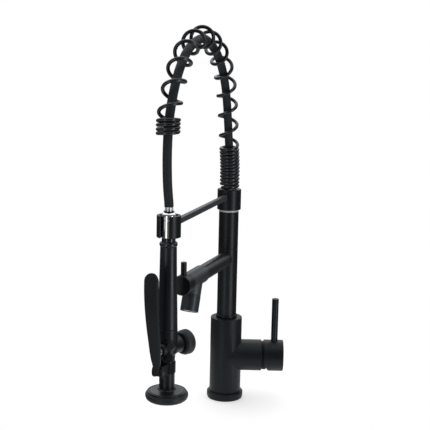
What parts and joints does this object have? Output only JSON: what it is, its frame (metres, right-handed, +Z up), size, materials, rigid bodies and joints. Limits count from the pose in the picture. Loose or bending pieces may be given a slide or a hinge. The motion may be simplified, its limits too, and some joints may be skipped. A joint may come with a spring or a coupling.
{
  "type": "pull-down kitchen faucet",
  "caption": "Deck-mounted kitchen faucet with a spring arch, a docked pull-down spray wand with a squeeze lever, a swivel pot-filler spout and a side mixer handle.",
  "frame": {"origin": "centre of the base on the deck surface, on the column's axis", "axes": "+Z up along the column, +X along the side valve towards its handle, -Y towards the user; the docking arm and the pot filler point 20 degrees from -Y towards -X"},
  "size_m": [0.2064, 0.3054, 0.6401],
  "materials": {
    "matte_black": "matte black powder coat with a fine satin grain",
    "hose_black": "black sleeve with a fine woven texture",
    "black_rubber": "matte black rubber",
    "chrome": "polished",
    "steel": "brushed",
    "brass": "machined",
    "nylon": "natural nylon",
    "light_ring": "bright satin",
    "cartridge_plastic": "smooth moulded housing and ceramic discs"
  },
  "bodies": {
    "base": {"deck_gasket": "black_rubber", "base_flange": "matte_black", "mounting_shank": "brass", "rubber_washer": "black_rubber", "mounting_plate": "steel", "mounting_nut": "brass", "inlet_manifold": "brass", "faucet_body": "matte_black", "riser_socket": "brass", "inner_riser": "brass", "cartridge": "cartridge_plastic", "cartridge_lock_nut": "brass", "bonnet_ring": "matte_black", "swivel_washer": "matte_black", "lower_bushing": "nylon", "spout_o_ring_lower": "black_rubber", "spout_o_ring_upper": "black_rubber", "upper_column": "matte_black", "upper_bushing": "nylon", "glide_ring": "light_ring"},
    "mixer_rotor": {"cartridge_rotor": "brass", "pivot_pin": "steel"},
    "mixer_handle": {"cartridge_stem": "steel", "handle_cap": "matte_black", "handle_lever": "matte_black", "handle_set_screw": "steel"},
    "pot_filler": {"lower_column": "matte_black", "spout_tube": "matte_black", "spout_valve_body": "matte_black", "spout_valve_disc": "cartridge_plastic", "spout_nozzle": "matte_black", "aerator": "nylon"},
    "spout_handle": {"spout_knob": "matte_black", "spout_valve_stem": "brass", "spout_pin": "matte_black"},
    "docking_arm": {"holder_collar": "matte_black", "holder_arm": "matte_black", "holder_clip": "matte_black", "spring_sleeve": "steel", "upper_ferrule": "steel", "support_spring": "matte_black", "spray_hose": "hose_black"},
    "wand_carrier": {"hose_connector": "chrome", "hose_nut": "matte_black", "hose_ferrule": "chrome"},
    "spray_wand": {"wand_neck_ring": "matte_black", "wand_handle": "matte_black", "spray_valve_body": "matte_black", "valve_cap": "black_rubber", "valve_spring": "steel", "hinge_bracket": "matte_black", "hinge_pin": "steel", "spray_stem": "matte_black", "spray_bell": "matte_black", "rubber_rim": "black_rubber", "spray_face": "black_rubber"},
    "trigger": {"squeeze_lever": "matte_black"},
    "plunger": {"valve_plunger": "steel", "plunger_seal": "black_rubber"}
  },
  "joints": [
    {"name": "mixer_temperature", "type": "hinge", "parent": "base", "child": "mixer_rotor", "pos_m": [0.062, 0, 0.0706], "axis": [1, 0, 0], "range_deg": [-45, 45]},
    {"name": "mixer_flow", "type": "hinge", "parent": "mixer_rotor", "child": "mixer_handle", "pos_m": [0.062, 0, 0.0706], "axis": [0, 1, 0], "range_deg": [0, 25]},
    {"name": "pot_filler_swivel", "type": "hinge", "parent": "base", "child": "pot_filler", "pos_m": [0, 0, 0.19], "axis": [0, 0, 1], "continuous": true},
    {"name": "spout_knob_turn", "type": "hinge", "parent": "pot_filler", "child": "spout_handle", "pos_m": [-0.06413, -0.17619, 0.2305], "axis": [-0.342, -0.9397, 0], "range_deg": [0, 90]},
    {"name": "docking_arm_swivel", "type": "hinge", "parent": "base", "child": "docking_arm", "pos_m": [0, 0, 0.325], "axis": [0, 0, 1], "continuous": true},
    {"name": "wand_pull", "type": "slide", "parent": "docking_arm", "child": "wand_carrier", "axis": [0, 0, -1], "range_m": [0, 0.06], "deforming": ["spray_hose"]},
    {"name": "wand_spin", "type": "hinge", "parent": "wand_carrier", "child": "spray_wand", "pos_m": [-0.08345, -0.22928, 0.309], "axis": [0, 0, 1], "range_deg": [-120, 120]},
    {"name": "lever_squeeze", "type": "hinge", "parent": "spray_wand", "child": "trigger", "pos_m": [-0.09441, -0.25176, 0.126], "axis": [-0.8988, 0.4384, 0], "range_deg": [0, 10], "stiffness_Nm_per_rad": 1.5, "springref_deg": -11.46},
    {"name": "plunger_press", "type": "slide", "parent": "spray_wand", "child": "plunger", "axis": [0.4384, 0.8988, 0], "range_m": [0, 0.0052], "deforming": ["valve_spring"]}
  ],
  "couplings": [
    {"joint": "plunger_press", "follows": "lever_squeeze", "m_per_rad": 0.029}
  ]
}
